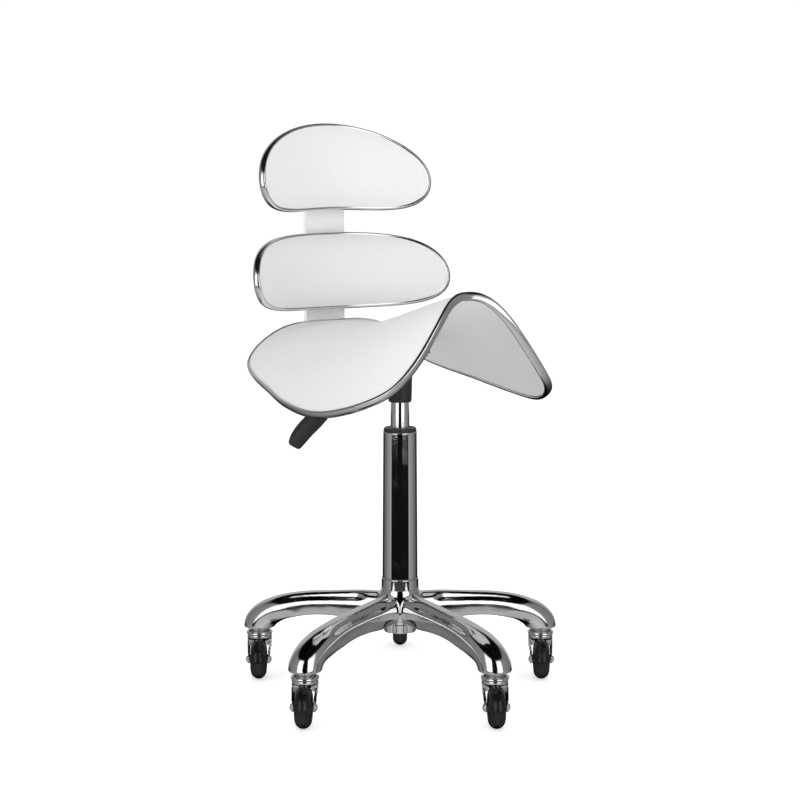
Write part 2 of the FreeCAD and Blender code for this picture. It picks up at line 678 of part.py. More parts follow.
def make_casters():
    places = list(caster_places())
    save("caster_stems", *[caster_stem(x, y) for x, y, _ in places])
    save("stem_grip_rings", *[tube(GRIP_R, STEM_R, 80, 98, x, y) for x, y, _ in places])
    save("race_cups", *[race_cup(x, y) for x, y, _ in places])
    save("swivel_balls", *[ball for x, y, _ in places for ball in race_balls(x, y)])
    pieces = {"caster_fork": caster_fork(), "caster_axle": caster_axle(), "wheel_hub": wheel_hub(),
              "tyre": tyre()}
    for number, (x, y, turn) in enumerate(places, 1):
        for name, piece in pieces.items():
            save("%s_%d" % (name, number), moved(piece, x, y, turn))


def make_lift():
    save("piston_rod", piston_rod())
    save("piston", tube(CYLINDER_BORE_R - SLIP, 3.0, PISTON_Z, PISTON_Z + 12))
    save("upper_race_washer", tube(9, ROD_NECK_R, UPPER_RACE_Z - WASHER, UPPER_RACE_Z))
    save("bump_stop", tube(10, ROD_R, UPPER_RACE_Z, BUMP_STOP_TOP_Z))
    save("retaining_clip", *retaining_clip())
    save("gas_cylinder", *seated(gas_cylinder()))
    save("release_pin", *seated(Part.makeCylinder(PIN_R, 24, V(0, 0, PIN_TOP_Z - 24))))


def make_mechanism():
    save("socket_tube", *seated(socket_tube()))
    save("mounting_plate", *seated(mounting_plate()))
    save("lever_bracket", *seated(*lever_bracket()))
    save("lever_pivot_pin", *seated(pivot_pin()))
    save("lever_rod", *seated(lever_rod()))
    save("lever_paddle", *seated(lever_paddle()))


def make_seat():
    shell, cover = seat_shell(), seat_cover()
    seat_nuts = [t_nut(x, y, seat_bolt_top(x, y)) for x, y in SEAT_BOLTS]
    shanks = upright_holes(BOLT_R, SEAT_BOLTS, PLATE_Z - 1, 600)
    sockets = [Part.makeCylinder(BOLT_R + 5, NUT_BELOW + NUT_ABOVE, V(x, y, seat_bolt_top(x, y) - NUT_BELOW))
               for x, y in SEAT_BOLTS]
    timber = mounting_block()
    shell_up = tipped(seat_layer(offset_saddle(-SHELL_HALF), offset_saddle(60)))
    save("mounting_block", *seated(timber.cut([shell_up] + shanks + sockets)))
    save("seat_shell", *seated(shell.cut(sockets + shanks)))
    save("seat_pad", *seated(seat_pad()))
    save("seat_cover", *seated(cover.cut([timber] + sockets)))
    save("seat_trim", *seated(seat_trim()))
    bolts = [hex_bolt(x, y, BOLT_R, PLATE_Z, seat_bolt_top(x, y) + NUT_ABOVE, 13, 5.5) for x, y in SEAT_BOLTS]
    bolts += [hex_bolt(x, y, BOLT_R, PLATE_Z - BAR, PLATE_Z + PLATE, 13, 5.5) for x, y in BAR_BOLTS]
    save("plate_bolts", *seated(*bolts))
    save("seat_t_nuts", *seated(*seat_nuts))


def make_backrest():
    save("backrest_bar", *seated(backrest_bar()))
    save("backrest_spacers", *seated(back_spacer(UPPER), back_spacer(LOWER)))
    save("backrest_bolts", *seated(*[back_bolt(*place) for place in back_bolt_places()]))
    nuts = [back_t_nut(*place) for place in back_bolt_places()]
    save("backrest_t_nuts", *seated(*nuts))
    sockets = []
    for pad, y, z in back_bolt_places():
        middle = wrap_place(pad, y, z)
        sockets += [rod(BACK_BOLT_R + 4.5, V(middle - 3, y, z), V(middle + NUT_ABOVE, y, z)),
                    rod(BACK_BOLT_R, V(middle - 20, y, z), V(middle + NUT_ABOVE, y, z))]
    for name, pad in (("upper", UPPER), ("lower", LOWER)):
        save(name + "_back_shell", *seated(back_shell(pad).cut(sockets)))
        save(name + "_back_pad", *seated(back_pad(pad)))
        save(name + "_back_cover", *seated(back_cover(pad).cut(sockets)))
        save(name + "_back_trim", *seated(back_trim(pad)))


os.makedirs("parts", exist_ok=True)
make_base()
make_casters()
make_lift()
make_mechanism()
make_seat()
make_backrest()
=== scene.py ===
# %% [markdown]
# # A rolling stylist stool
# A hairdresser's stool: a saddle seat and two wrap-around back pads on a gas column, which stands
# on a polished five-leg base with swivelling casters. The engineering model is loaded first and
# stays where it is. Every piece made below takes the place of one of its plain pieces, in metres.

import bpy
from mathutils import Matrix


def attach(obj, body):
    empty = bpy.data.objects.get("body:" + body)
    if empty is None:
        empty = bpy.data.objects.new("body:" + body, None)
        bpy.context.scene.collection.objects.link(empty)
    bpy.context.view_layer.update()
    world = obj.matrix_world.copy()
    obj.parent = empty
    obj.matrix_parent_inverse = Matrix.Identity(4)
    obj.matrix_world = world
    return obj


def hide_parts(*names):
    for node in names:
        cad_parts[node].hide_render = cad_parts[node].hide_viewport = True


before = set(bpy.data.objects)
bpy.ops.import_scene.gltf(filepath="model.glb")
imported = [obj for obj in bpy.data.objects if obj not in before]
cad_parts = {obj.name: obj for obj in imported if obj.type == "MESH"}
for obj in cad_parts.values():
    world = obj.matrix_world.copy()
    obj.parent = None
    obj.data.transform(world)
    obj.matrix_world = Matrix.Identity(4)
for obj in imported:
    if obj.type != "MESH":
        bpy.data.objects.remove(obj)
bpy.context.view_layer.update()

# %% Blender's own modules
import math

import bmesh
import bpy
import numpy as np
from mathutils import Matrix, Vector

MM = 0.001

# %% [markdown]
# ## Shader maths as Python
# A finish is a tree of nodes. Wiring each node by hand hides the idea behind it, so a small class
# wraps one output of a node and lets ordinary operators add the Math nodes: `1 - mask * 0.3` then
# reads as the sum that it is.

# %% A socket that does sums
class Value:
    def __init__(self, finish, socket):
        self.finish = finish
        self.socket = socket

    def maths(self, operation, first, second):
        return self.finish.add("ShaderNodeMath", {"operation": operation}, {0: first, 1: second})

    def __add__(self, other):
        return self.maths("ADD", self, other)

    def __sub__(self, other):
        return self.maths("SUBTRACT", self, other)

    def __rsub__(self, other):
        return self.maths("SUBTRACT", other, self)

    def __mul__(self, other):
        return self.maths("MULTIPLY", self, other)

    __radd__ = __add__
    __rmul__ = __mul__


# %% [markdown]
# One method makes every other node. It takes the node's type, its settings (set first, because
# they can change which sockets exist) and the values or links of its sockets. The textures that
# several finishes share have short names of their own on top of it.

# %% A finish and its nodes
class Finish:
    def __init__(self, tree):
        self.nodes = tree.nodes
        self.links = tree.links

    def add(self, kind, settings=None, sockets=None, output=0):
        node = self.nodes.new(kind)
        for name, setting in (settings or {}).items():
            if name == "stops":
                self.set_stops(node.color_ramp, setting)
            else:
                setattr(node, name, setting)
        for name, value in (sockets or {}).items():
            self.feed(node.inputs[name], value)
        return Value(self, node.outputs[output])

    def feed(self, socket, value):
        if isinstance(value, Value):
            self.links.new(value.socket, socket)
        else:
            socket.default_value = value

    def set_stops(self, ramp, stops):
        while len(ramp.elements) < len(stops):
            ramp.elements.new(1.0)
        for element, (position, level) in zip(ramp.elements, stops):
            element.position = position
            element.color = (level, level, level, 1.0)

    def place(self):
        return self.add("ShaderNodeTexCoord", output="Object")

    def noise(self, scale, detail=2.0, vector=None, roughness=0.5):
        return self.add("ShaderNodeTexNoise", {}, {
            "Vector": vector or self.place(), "Scale": scale, "Detail": detail,
            "Roughness": roughness})

    def cells(self, scale, feature="F1"):
        return self.add("ShaderNodeTexVoronoi", {"feature": feature}, {
            "Vector": self.place(), "Scale": scale})

    def ramp(self, value, *stops):
        return self.add("ShaderNodeValToRGB", {"stops": stops}, {0: value})

    def stretch(self, x, y, z):
        settings = {"operation": "MULTIPLY"}
        return self.add("ShaderNodeVectorMath", settings, {0: self.place(), 1: (x, y, z)})

    def mix(self, factor, first, second):
        return self.add("ShaderNodeMix", {"data_type": "RGBA"},
                        {0: factor, 6: first, 7: second}, output=2)

    def bump(self, height, distance, strength=1.0):
        return self.add("ShaderNodeBump", {}, {
            "Height": height, "Distance": distance, "Strength": strength})


# %% [markdown]
# Every surface finish ends in one Principled shader. What is the same all over, such as the sheen
# of a leatherette, is a plain number on the shader itself. Only what changes from place to place
# is wired up.

# %% Make a named surface
def surface(name, **values):
    """A new material: its Finish, and its shader with the plain values already set."""
    material = bpy.data.materials.new(name)
    material.use_nodes = True
    finish = Finish(material.node_tree)
    finish.material = material
    finish.shader = material.node_tree.nodes["Principled BSDF"]
    for socket, value in values.items():
        finish.feed(finish.shader.inputs[socket.replace("_", " ")], value)
    return finish


def wire(finish, **values):
    for socket, value in values.items():
        finish.feed(finish.shader.inputs[socket.replace("_", " ")], value)
    return finish.material


def grey(level, warmth=0.0):
    return (level * (1 + warmth), level, level * (1 - warmth), 1.0)


# %% [markdown]
# ## Chrome in three qualities
# The base is die-cast aluminium, polished and plated: under the bright plate the skin of a casting
# still rolls a little, so its reflections wander. The column and the gas cylinder are ground tube,
# dead straight, with only finger marks. The edge bands are plated plastic, softer in their gloss.
# Nothing here paints a highlight: the metal is nearly plain, and the studio does the rest.

# %% Plated casting
def plated_casting():
    finish = surface("plated_casting", Metallic=1.0)
    smear = finish.noise(28.0, 3.0)
    grit = finish.noise(420.0, 2.0)
    rolling = finish.noise(24.0, 1.0)
    return wire(
        finish,
        Base_Color=finish.mix(smear, grey(0.70), grey(0.82, 0.004)),
        Roughness=0.07 + 0.06 * finish.ramp(smear, (0.42, 0.0), (0.75, 1.0)) + 0.02 * grit,
        Normal=finish.bump(rolling + 0.02 * grit, 0.0016, 0.35))


# %% Ground and plated tube
def plated_tube():
    finish = surface("plated_tube", Metallic=1.0)
    marks = finish.ramp(finish.noise(34.0, 5.0), (0.50, 0.0), (0.72, 1.0))
    grind = finish.noise(90.0, 2.0, finish.stretch(1.0, 1.0, 14.0))
    return wire(
        finish,
        Base_Color=finish.mix(marks, grey(0.86), grey(0.80, 0.006)),
        Roughness=0.03 + 0.05 * marks + 0.015 * grind,
        Normal=finish.bump(grind, 0.00002, 0.25))


# %% Plated plastic band
def plated_band():
    finish = surface("plated_band", Metallic=1.0)
    waves = finish.noise(30.0, 2.0)
    specks = finish.noise(600.0, 1.0)
    return wire(
        finish,
        Base_Color=finish.mix(waves, grey(0.72), grey(0.86)),
        Roughness=0.13 + 0.06 * waves + 0.03 * specks,
        Normal=finish.bump(waves, 0.0008, 0.3))


# %% Pressed and plated steel of the casters
def plated_pressing():
    finish = surface("plated_pressing", Metallic=1.0)
    drawn = finish.noise(70.0, 3.0)
    dust = finish.ramp(finish.noise(120.0, 4.0), (0.5, 0.0), (0.8, 1.0))
    return wire(
        finish,
        Base_Color=finish.mix(dust, grey(0.84), grey(0.66, 0.01)),
        Roughness=0.06 + 0.12 * dust + 0.03 * drawn,
        Normal=finish.bump(drawn, 0.0006, 0.3))


# %% [markdown]
# ## Steel, black paint and white paint
# The fasteners are plain zinc-bright steel with fine turning marks. The socket under the seat, its
# plate and the lever's rod are powder coated black; the flat bar of the backrest is coated white.
# Powder coat flows into a fine orange-peel skin, which is a small bump with soft gloss over it.

# %% Fastener steel
def bright_steel():
    finish = surface("bright_steel", Metallic=1.0)
    turned = finish.noise(260.0, 3.0, finish.stretch(1.0, 1.0, 6.0))
    stain = finish.noise(60.0, 3.0)
    return wire(
        finish,
        Base_Color=finish.mix(stain, grey(0.50, 0.01), grey(0.66)),
        Roughness=0.24 + 0.14 * turned,
        Normal=finish.bump(turned, 0.00005, 0.5))


# %% Powder coats
def powder_coat(name, dark, light, rough):
    finish = surface(name, Specular_IOR_Level=0.5)
    peel = finish.noise(700.0, 2.0)
    shade = finish.noise(14.0, 3.0)
    rub = finish.ramp(finish.noise(110.0, 5.0), (0.62, 0.0), (0.8, 1.0))
    return wire(
        finish,
        Base_Color=finish.mix(shade, grey(dark), grey(light)),
        Roughness=rough + 0.10 * peel + 0.08 * rub,
        Normal=finish.bump(peel, 0.00012, 0.6))


# %% [markdown]
# ## Plastics and rubber
# The collar on the column, the lever's paddle and the wheel centres are moulded black plastic,
# spark-textured in the mould. The tyres are softer: a satin polyurethane with scuffs where they
# have rolled over clippings and dust.

# %% Moulded plastic
def moulded_black():
    finish = surface("moulded_black", Specular_IOR_Level=0.45)
    spark = finish.cells(1500.0)
    patch = finish.noise(22.0, 3.0)
    return wire(
        finish,
        Base_Color=finish.mix(patch, grey(0.010), grey(0.022)),
        Roughness=0.34 + 0.12 * spark + 0.08 * patch,
        Normal=finish.bump(spark, 0.00008, 0.5))


# %% Tyre and bump rubber
def satin_rubber(name, level, rough):
    finish = surface(name, Specular_IOR_Level=0.35)
    grain = finish.noise(900.0, 3.0)
    scuff = finish.ramp(finish.noise(48.0, 6.0, roughness=0.65), (0.52, 0.0), (0.74, 1.0))
    return wire(
        finish,
        Base_Color=finish.mix(scuff, grey(level), grey(level * 2.6, 0.02)),
        Roughness=rough + 0.16 * scuff + 0.06 * grain,
        Normal=finish.bump(grain + 0.5 * scuff, 0.00012, 0.5))


# %% [markdown]
# ## White leatherette
# Seen close, vinyl upholstery is a net of fine creases round small flat islands about a millimetre
# across. A cell texture gives the islands, its distance-to-edge form gives the creases between
# them, and a slow noise changes how tightly the hide is stretched. The colour stays almost even:
# a cool white that varies a little at random, and a trace darker down in the creases, which is
# painted shade.

# %% Leatherette
def leatherette(name, crease_shade_and_low_tone, crest):
    finish = surface(name, Specular_IOR_Level=0.42, Sheen_Weight=0.06, Sheen_Roughness=0.5)
    wander = finish.noise(160.0, 2.0)
    creases = finish.ramp(finish.cells(820.0, "DISTANCE_TO_EDGE"), (0.0, 0.0), (0.16, 1.0))
    islands = finish.cells(820.0)
    tone = finish.noise(9.0, 3.0)
    height = 0.65 * creases + 0.25 * (1 - islands) + 0.4 * wander
    # The crease colour is painted shade; the slow tone is random variation of the vinyl.
    colour = finish.mix(0.75 * creases + 0.25 * tone, grey(crease_shade_and_low_tone, -0.004), grey(crest, -0.004))
    return wire(
        finish,
        Base_Color=colour,
        Roughness=0.44 + 0.10 * islands - 0.06 * tone,
        Normal=finish.bump(height, 0.00016, 0.55))


# %% [markdown]
# ## Plywood
# Hidden between pad and cover, the boards are moulded birch plywood, and the block under the seat
# is the same. Bands run across the thickness as the plies, and a stretched noise draws the grain.

# %% Plywood
def birch_plywood():
    finish = surface("birch_plywood")
    plies = finish.add("ShaderNodeTexWave", {"bands_direction": "Z"}, {
        "Vector": finish.place(), "Scale": 120.0, "Distortion": 0.6, "Detail": 2.0})
    grain = finish.noise(40.0, 6.0, finish.stretch(1.0, 9.0, 1.0))
    return wire(
        finish,
        Base_Color=finish.mix(0.6 * plies + 0.4 * grain, (0.42, 0.27, 0.14, 1.0),
                              (0.66, 0.48, 0.29, 1.0)),
        Roughness=0.55 + 0.2 * grain,
        Normal=finish.bump(grain, 0.0002, 0.4))


# %% Mix every finish once
FINISHES = {
    "polished_casting": plated_casting(),
    "chrome": plated_tube(),
    "trim_chrome": plated_band(),
    "pressing": plated_pressing(),
    "steel": bright_steel(),
    "black_steel": powder_coat("black_powder_coat", 0.008, 0.018, 0.30),
    "white_steel": powder_coat("white_powder_coat", 0.84, 0.90, 0.38),
    "black_plastic": moulded_black(),
    "tread": satin_rubber("satin_tyre", 0.006, 0.16),
    "rubber": satin_rubber("bump_rubber", 0.016, 0.55),
    "white_leather": leatherette("seat_leatherette", 0.70, 0.82),
    # The back finish is a darker copy of the seat's white vinyl: its lower levels are painted
    # shade.
    "white_back": leatherette("back_leatherette_painted_shade", 0.54, 0.63),
    "plywood": birch_plywood(),
}
print("finishes:", ", ".join(FINISHES))

# %% [markdown]
# ## Camera and studio
# The camera stands a little above the seat and looks slightly down, with a long lens, as for a
# catalogue. The stool is shown on a pale sweep. Diffuse light comes from large soft sources that
# the metal does not see. What the metal does see is the room: chrome has no colour of its own, so
# the room is drawn as a sky of panels. Two tall soft boxes stand either side of the camera, the
# gap between them is dark, grey flats stand at the sides, a paler backdrop hangs behind, and the
# floor is a mid grey.

# %% Camera
camera_data = bpy.data.cameras.new("camera")
camera = bpy.data.objects.new("camera", camera_data)
bpy.context.scene.collection.objects.link(camera)
camera.location = (0.0, -2.793, 0.807)
camera.rotation_euler = (math.radians(90 - 7.46), 0.0, 0.0)
camera_data.lens = 84.78
camera_data.sensor_width = 36.0
bpy.context.scene.camera = camera
print("camera", tuple(camera.location), "lens", camera_data.lens)


# %% The room that the metal reflects
def smooth_step(finish, value, low, high):
    """0 below low, 1 above high, with a soft edge between."""
    return finish.add("ShaderNodeMapRange", {"interpolation_type": "SMOOTHSTEP"}, {
        "Value": value, "From Min": low, "From Max": high})


def studio_sky():
    world = bpy.data.worlds.new("studio")
    bpy.context.scene.world = world
    world.use_nodes = True
    sky = Finish(world.node_tree)
    background = world.node_tree.nodes["Background"]
    view = sky.add("ShaderNodeTexCoord", output="Generated")
    toward = sky.add("ShaderNodeSeparateXYZ", {}, {0: view})
    side = Value(sky, toward.socket.node.outputs["X"])
    depth = Value(sky, toward.socket.node.outputs["Y"])
    height = Value(sky, toward.socket.node.outputs["Z"])
    sideways = sky.add("ShaderNodeMath", {"operation": "ABSOLUTE"}, {0: side})
    angle = sky.add("ShaderNodeMath", {"operation": "ARCTAN2"}, {0: sideways, 1: 0.0 - depth})
    return sky, background, angle * (180 / math.pi), height


SOFT_BOX, BACKDROP, BLACK_GAP = 1.5, 0.5, 0.006
WHITE_TO_CAMERA, DIFFUSE_FILL = 1.04, 0.64
HORIZON = (-0.1325, -0.1285)     # below it lies what an upright tube shows of the lower room
FLOOR_EDGE = (-0.262, -0.235)
BOX_TOP = (0.60, 0.74)


def light_the_room():
    """What metal sees, by bearing (degrees from the camera) and height (sine of elevation)."""
    sky, background, bearing, height = studio_sky()
    gap = smooth_step(sky, bearing, 15.0, 19.0)
    box_end = smooth_step(sky, bearing, 50.0, 58.0)
    dark_end = smooth_step(sky, bearing, 58.0, 62.0)
    back = smooth_step(sky, bearing, 125.0, 150.0)
    boxes = gap * (1 - box_end) * SOFT_BOX
    flats = box_end * (0.36 - 0.0014 * bearing) * (1 - back)
    upper = (boxes + flats + back * BACKDROP) * (1 - smooth_step(sky, height, *BOX_TOP))
    lower = dark_end * (0.62 - 0.0042 * bearing) * (1 - back) + BLACK_GAP
    above = smooth_step(sky, height, *HORIZON)
    walls = lower * (1 - above) + upper * above
    floor = (0.64 - 0.0038 * bearing) * (1 - 0.4 * back)
    off_floor = smooth_step(sky, height, *FLOOR_EDGE)
    seen = walls * off_floor + (1 - off_floor) * floor
    rays = sky.add("ShaderNodeLightPath")
    to_camera = Value(sky, rays.socket.node.outputs["Is Camera Ray"])
    to_metal = Value(sky, rays.socket.node.outputs["Is Glossy Ray"])
    level = seen * to_metal + (1 - to_metal) * DIFFUSE_FILL
    strength = to_camera * WHITE_TO_CAMERA + (1 - to_camera) * level
    sky.feed(background.inputs["Color"], (1.0, 1.0, 1.0, 1.0))
    sky.feed(background.inputs["Strength"], strength)


light_the_room()
bpy.context.scene.view_settings.view_transform = "Standard"


# %% Soft lights and the floor
def soft_light(name, place, aim, size, watts):
    data = bpy.data.lights.new(name, "AREA")
    data.shape = "RECTANGLE"
    data.size, data.size_y = size
    data.energy = watts
    lamp = bpy.data.objects.new(name, data)
    bpy.context.scene.collection.objects.link(lamp)
    lamp.location = place
    lamp.rotation_euler = (Vector(aim) - Vector(place)).to_track_quat("-Z", "Y").to_euler()
    lamp.visible_glossy = False


soft_light("overhead", (0.2, -0.3, 2.6), (0, 0, 0), (2.2, 2.2), 9)
soft_light("front", (0.2, -3.1, 1.5), (0, 0, 0.6), (2.2, 1.6), 21)
soft_light("left_box", (-1.9, -1.7, 1.5), (0, 0, 0.45), (0.9, 1.6), 12)
soft_light("right_box", (2.0, -1.5, 1.2), (0, 0, 0.45), (0.9, 1.6), 7)


def pale_floor():
    mesh = bpy.data.meshes.new("floor")
    reach = 6.0
    corners = [(-reach, -reach, 0), (reach, -reach, 0), (reach, reach, 0), (-reach, reach, 0)]
    mesh.from_pydata(corners, [], [(0, 1, 2, 3)])
    floor = bpy.data.objects.new("floor", mesh)
    bpy.context.scene.collection.objects.link(floor)
    finish = surface("pale_sweep", Roughness=0.9, Specular_IOR_Level=0.1, Emission_Strength=0.5)
    tone = finish.noise(2.0, 2.0)
    paint = wire(finish, Base_Color=finish.mix(tone, grey(0.90), grey(0.92)),
                 Emission_Color=grey(1.0))
    mesh.materials.append(paint)
    floor.visible_glossy = False


pale_floor()
print("room, lights and floor are set")

# %% [markdown]
# ## Small mesh helpers
# Most of the stool is turned, lofted or stretched over a form. These helpers make a named mesh
# from points and faces, round the corners of a drawn outline, spin an outline, and hand a finished
# piece to the body that carries it.


# %% Mesh from points and faces
def new_piece(name, points, faces, smooth_angle=50.0):
    mesh = bpy.data.meshes.new(name)
    mesh.from_pydata([tuple(p) for p in points], [], faces)
    mesh.validate()
    tidy = bmesh.new()
    tidy.from_mesh(mesh)
    bmesh.ops.recalc_face_normals(tidy, faces=tidy.faces)
    tidy.to_mesh(mesh)
    tidy.free()
    mesh.shade_smooth()
    mesh.set_sharp_from_angle(angle=math.radians(smooth_angle))
    piece = bpy.data.objects.new(name, mesh)
    bpy.context.scene.collection.objects.link(piece)
    return piece


def strip_faces(rings, around, closed_around=True, closed_along=False):
    """Quads between rings of points that follow each other in one list."""
    faces = []
    for i in range(rings if closed_along else rings - 1):
        for j in range(around if closed_around else around - 1):
            a, b = i * around + j, i * around + (j + 1) % around
            c, d = (i + 1) % rings * around + (j + 1) % around, (i + 1) % rings * around + j
            faces.append((a, b, c, d))
    return faces


def bake(piece):
    """Replace a piece's mesh by what its modifiers make of it."""
    graph = bpy.context.evaluated_depsgraph_get()
    mesh = bpy.data.meshes.new_from_object(piece.evaluated_get(graph))
    piece.modifiers.clear()
    piece.data = mesh
    mesh.shade_smooth()
    return piece


def dress(piece, body, slot, nodes, finish=None):
    """Give a piece its finish, and let it ride on its body in place of the plain nodes."""
    piece.data.materials.clear()
    piece.data.materials.append(FINISHES[finish or slot])
    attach(piece, body)
    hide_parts(*nodes)
    return piece


# %% Rounded outlines and turned pieces
def rounded(corners, radius, steps=5):
    """A closed outline with eased corners; a guard point by each arc keeps long sides flat."""
    outline = []
    for i, corner in enumerate(corners):
        here = Vector(corner)
        before, after = Vector(corners[i - 1]), Vector(corners[(i + 1) % len(corners)])
        room = 0.45 * min((before - here).length, (after - here).length)
        cut = min(radius, room)
        to_before, to_after = (before - here).normalized(), (after - here).normalized()
        start, end = here + to_before * cut, here + to_after * cut
        guard = min(2.2 * cut, room)
        arc = [start * (1 - t) ** 2 + here * 2 * t * (1 - t) + end * t ** 2
               for t in [k / steps for k in range(steps + 1)]]
        if guard > 1.2 * cut:
            arc = [here + to_before * guard] + arc + [here + to_after * guard]
        outline += arc
    return outline


def turned(name, corners, easing=0.6 * MM, around=96, steps=4):
    """Spin a closed outline about the upright axis."""
    outline = rounded(corners, easing, steps)
    points = []
    for j in range(around):
        angle = 2 * math.pi * j / around
        points += [(r * math.cos(angle), r * math.sin(angle), z) for r, z in outline]
    faces = strip_faces(around, len(outline), True, True)
    return new_piece(name, points, faces)


def millimetres(*pairs):
    return [(a * MM, b * MM) for a, b in pairs]


# %% Smooth curve through stations
def through(stations, per_span):
    """Extra stations on a smooth curve through the given ones."""
    made = []
    last = len(stations) - 1
    for i in range(last):
        p0, p1 = np.array(stations[max(i - 1, 0)], float), np.array(stations[i], float)
        p2, p3 = np.array(stations[i + 1], float), np.array(stations[min(i + 2, last)], float)
        for k in range(per_span):
            t = k / per_span
            made.append(0.5 * (2 * p1 + (p2 - p0) * t + (2 * p0 - 5 * p1 + 4 * p2 - p3) * t ** 2
                               + (3 * p1 - p0 - 3 * p2 + p3) * t ** 3))
    return made + [np.array(stations[-1], float)]


def loft(name, rings):
    """A skin over closed rings of points, with a flat cap at each end."""
    around = len(rings[0])
    points = [p for ring in rings for p in ring]
    faces = strip_faces(len(rings), around)
    faces.append(tuple(range(around))[::-1])
    faces.append(tuple(len(points) - around + i for i in range(around)))
    return new_piece(name, points, faces)


print("helpers ready")

# %% [markdown]
# ## The polished base
# The base is one casting: five legs that leave a hub, arch, and turn down over the casters. A leg
# has a crowned ridge along its top, a scooped groove below the ridge on each side, and a deeper
# upright flank that ends in a crisp lower edge. The scoop starts in a point by the hub and runs out
# in the knee. Separate lofts would meet at the hub in hard lines that no foundry could cast, so the
# legs and the hub are merged by a voxel remesh and then relaxed, which leaves the soft fillets of a
# real casting.

# %% One leg
LEG_STATIONS = (
    (27, 126, 0, 19.5, 21.5), (60, 126, 0, 19, 21), (110, 125, 3, 19.5, 17.5),
    (150, 121.5, 9, 21, 17), (185, 113.5, 22, 22.8, 18.5), (212, 101.5, 45, 24, 21.5),
    (226, 89, 70, 24.3, 23.8), (230, 77, 90, 24.3, 24.3))
PLAIN_SIDE = (
    (0, 1.0), (0.3, 0.97), (0.52, 0.89), (0.68, 0.77), (0.79, 0.64), (0.87, 0.5), (0.94, 0.33),
    (0.985, 0.12), (1.0, -0.12), (0.98, -0.42), (0.93, -0.68), (0.84, -0.86), (0.66, -0.96),
    (0.35, -1.0), (0, -1.0))
SCOOPED_SIDE = (
    (0, 1.0), (0.28, 0.98), (0.46, 0.91), (0.56, 0.72), (0.61, 0.54), (0.74, 0.46), (0.92, 0.38),
    (0.985, 0.16), (0.99, -0.2), (0.985, -0.5), (0.98, -0.8), (0.965, -0.95), (0.88, -1.0),
    (0.4, -1.0), (0, -1.0))
ROUND_SIDE = tuple((math.sin(math.pi * i / 14), math.cos(math.pi * i / 14)) for i in range(15))


def ease(value, low, high):
    t = min(max((value - low) / (high - low), 0.0), 1.0)
    return t * t * (3 - 2 * t)


def leg_ring(out, height, tip, half_width, half_height):
    """One section across a leg that points along +X."""
    scoop = ease(out, 48, 66) * (1 - ease(out, 164, 196))
    rounding = ease(out, 188, 224)
    tip = math.radians(tip)
    side = []
    for plain, scooped, full in zip(PLAIN_SIDE, SCOOPED_SIDE, ROUND_SIDE):
        x, y = [(a * (1 - scoop) + b * scoop) * (1 - rounding) + c * rounding
                for a, b, c in zip(plain, scooped, full)]
        side.append((x * half_width, y * half_height))
    around = side + [(-x, y) for x, y in side[-2:0:-1]]
    return [(MM * (out + rise * math.sin(tip)), MM * across, MM * (height + rise * math.cos(tip)))
            for across, rise in around]


def leg(angle):
    rings = [leg_ring(*station) for station in through(LEG_STATIONS, 7)]
    piece = loft("leg", rings)
    piece.data.transform(Matrix.Rotation(math.radians(angle), 4, "Z"))
    return piece


LEG_ANGLES = [90 + 72 * i for i in range(5)]


# %% Hub, and the merge
def merge(name, pieces):
    """Join several meshes into one object."""
    whole = bmesh.new()
    for piece in pieces:
        whole.from_mesh(piece.data)
        bpy.data.objects.remove(piece)
    mesh = bpy.data.meshes.new(name)
    whole.to_mesh(mesh)
    whole.free()
    joined = bpy.data.objects.new(name, mesh)
    bpy.context.scene.collection.objects.link(joined)
    return joined


def base_casting():
    hub = turned("hub", millimetres(
        (20.5, 101.4), (28.5, 101.4), (33, 104), (35.5, 112), (36, 120), (34, 138), (30, 150),
        (28, 157), (25.1, 157), (25.1, 104.2), (20.5, 104.2)))
    body = merge("base_casting_body", [hub] + [leg(angle) for angle in LEG_ANGLES])
    cast = body.modifiers.new("cast", "REMESH")
    cast.mode = "VOXEL"
    cast.voxel_size = 1.5 * MM
    polish = body.modifiers.new("polish", "SMOOTH")
    polish.factor = 0.5
    polish.iterations = 9
    bake(body)
    collar = turned("collar", millimetres((25.1, 140), (28.0, 150), (27.9, 171), (25.1, 171)))
    ring = scalloped_ring()
    whole = merge("base_casting_shell", [body, collar, ring])
    whole.data.shade_smooth()
    return whole


def scalloped_ring():
    """The foot of the hub: a ring with six rounded lobes."""
    dip = 3.0 * MM
    around = 144
    outline = rounded(millimetres((20, 88.5), (25, 88.5), (25.5, 103), (20, 103)), 1.6 * MM, 4)
    points = []
    for j in range(around):
        angle = 2 * math.pi * j / around
        lobe = abs(math.cos(3 * (angle - math.radians(90)))) ** 0.35
        for r, z in outline:
            reach = r - (1 - lobe) * dip * ease(r, 20.5 * MM, 24 * MM)
            points.append((reach * math.cos(angle), reach * math.sin(angle), z))
    return new_piece("foot_ring", points, strip_faces(around, len(outline), True, True))


casting = dress(base_casting(), "base", "polished_casting", ["base_casting"])
print("base casting:", len(casting.data.polygons), "faces")

# %% [markdown]
# ## Column and gas cylinder
# Both are turned parts, so each is an outline spun round the axis with many steps: a mirror finish
# shows every flat of a coarse tube. The column's outside tapers by a millimetre and a half in
# radius, and the cylinder's by 0.7 above the collar. A black plastic collar closes the column's
# top, where the cylinder slides through.

